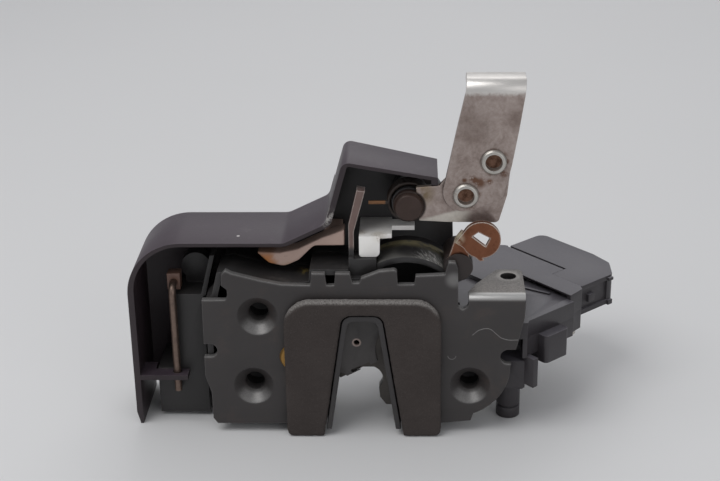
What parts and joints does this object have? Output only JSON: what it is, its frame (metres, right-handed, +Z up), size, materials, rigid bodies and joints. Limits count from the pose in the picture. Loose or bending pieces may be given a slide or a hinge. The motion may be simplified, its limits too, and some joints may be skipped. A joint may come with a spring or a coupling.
{
  "type": "door latch actuator",
  "caption": "Vehicle door latch with rotary catch, pawl, release levers, moulded shroud and a motor-driven lock actuator with its plug socket.",
  "frame": {"origin": "axis of the latched striker where it crosses the steel plate's front face", "axes": "+X to the right along the plate, +Y back into the door, +Z up, away from the mouth's open foot"},
  "size_m": [0.1505, 0.07, 0.112],
  "materials": {
    "foam": "open-cell grey foam",
    "coated_plate": "black coating, worn to steel on edges",
    "black_plastic": "moulded, lightly grained",
    "hard_steel": "blanked and hardened",
    "sleeve_plastic": "moulded, satin",
    "rivet_steel": "plated",
    "amber_plate": "yellow passivated",
    "spring_wire": "coppery spring wire",
    "buffer_rubber": "soft rubber",
    "cover_plastic": "moulded, faint plum tint, worn corners",
    "rod_wire": "zinc plated wire",
    "brown_plastic": "brown clip",
    "beige_plastic": "beige, greased",
    "zinc_sheet": "zinc plated, rust specks",
    "lever_steel": "zinc plated, mottled and rusted",
    "bronze_sheet": "bronze-brown, bright rim",
    "module_plastic": "moulded, satin",
    "motor_can": "drawn steel can",
    "worm_brass": "cut brass",
    "white_plastic": "natural acetal",
    "switch_plastic": "blue-black",
    "tin_pins": "tinned"
  },
  "bodies": {
    "latch": {"foam_seal": "foam", "latch_plate": "coated_plate", "mouth_liner": "black_plastic", "catch_pivot": "rivet_steel", "pawl_pivot": "amber_plate", "catch_spring": "spring_wire", "pawl_spring": "spring_wire", "lever_spring": "spring_wire", "latch_case": "black_plastic", "rear_case": "black_plastic", "striker_buffer": "buffer_rubber", "catch_stop": "buffer_rubber", "back_plate": "coated_plate", "cover_shroud": "cover_plastic", "guide_bracket": "black_plastic", "lever_bush": "black_plastic", "lever_pivot": "rivet_steel", "eye_lever_post": "black_plastic", "inside_lever_pin": "rivet_steel", "actuator_housing": "module_plastic", "actuator_cover": "module_plastic", "plug_socket": "module_plastic", "lid_screws": "rivet_steel", "lock_motor": "motor_can", "wheel_pin": "rivet_steel", "lock_switch": "switch_plastic", "connector_pins": "tin_pins"},
    "catch": {"catch": "hard_steel", "catch_sleeve": "sleeve_plastic"},
    "pawl": {"pawl": "hard_steel", "pawl_follower_pin": "rivet_steel"},
    "outer_lever": {"outer_lever": "lever_steel", "lever_extension": "lever_steel", "lever_rivets": "lever_steel"},
    "eye_lever": {"eye_lever": "bronze_sheet"},
    "release_bar": {"release_bar": "beige_plastic"},
    "coupling_link": {"coupling_link": "zinc_sheet"},
    "lock_rod": {"lock_rod": "rod_wire", "rod_clip": "brown_plastic"},
    "worm_wheel": {"worm_wheel": "white_plastic", "lock_crank": "zinc_sheet"},
    "motor_worm": {"motor_worm": "worm_brass"},
    "inside_lever": {"inside_lever": "zinc_sheet"}
  },
  "joints": [
    {"name": "catch_turn", "type": "hinge", "parent": "latch", "child": "catch", "pos_m": [0.015, 0.0076, -0.0083], "axis": [0, 1, 0], "range_deg": [0, 66.8], "stiffness_Nm_per_rad": 0.03, "springref_deg": -34.38, "deforming": ["catch_spring"]},
    {"name": "pawl_turn", "type": "hinge", "parent": "latch", "child": "pawl", "pos_m": [-0.0208, 0.0076, -0.0084], "axis": [0, -1, 0], "range_deg": [0, 7], "stiffness_Nm_per_rad": 0.03, "springref_deg": -28.65, "deforming": ["pawl_spring"]},
    {"name": "outer_lever_turn", "type": "hinge", "parent": "latch", "child": "outer_lever", "pos_m": [0.0139, 0.006, 0.0387], "axis": [0, 1, 0], "range_deg": [0, 15], "stiffness_Nm_per_rad": 0.04, "springref_deg": -34.38, "deforming": ["lever_spring"]},
    {"name": "eye_lever_turn", "type": "hinge", "parent": "latch", "child": "eye_lever", "pos_m": [0.0286, 0.003, 0.0203], "axis": [0, 1, 0], "range_deg": [-8, 14], "stiffness_Nm_per_rad": 0.02},
    {"name": "release_bar_slide", "type": "slide", "parent": "latch", "child": "release_bar", "axis": [-1, 0, 0], "range_m": [0, 0.003], "stiffness_N_per_m": 150, "springref_m": -0.002},
    {"name": "wheel_turn", "type": "hinge", "parent": "latch", "child": "worm_wheel", "pos_m": [0.0492, 0.02479, -0.0033], "axis": [0, 0, -1], "range_deg": [0, 70]},
    {"name": "worm_turn", "type": "hinge", "parent": "latch", "child": "motor_worm", "pos_m": [0.04674, 0.04209, -0.0033], "axis": [-0.6691, 0.7431, 0], "range_deg": [0, 1260]},
    {"name": "link_slide", "type": "slide", "parent": "latch", "child": "coupling_link", "axis": [1, 0, 0], "range_m": [0, 0.003]},
    {"name": "lock_rod_slide", "type": "slide", "parent": "latch", "child": "lock_rod", "axis": [0, 0, 1], "range_m": [0, 0.005]},
    {"name": "inside_lever_turn", "type": "hinge", "parent": "latch", "child": "inside_lever", "pos_m": [-0.014, 0.0296, -0.0045], "axis": [0, -1, 0], "range_deg": [0, 20], "stiffness_Nm_per_rad": 0.02, "springref_deg": -22.92}
  ],
  "couplings": [
    {"joint": "worm_turn", "follows": "wheel_turn", "ratio": 18},
    {"joint": "link_slide", "follows": "wheel_turn", "m_per_rad": 0.0024553},
    {"joint": "lock_rod_slide", "follows": "wheel_turn", "m_per_rad": 0.0040922}
  ]
}
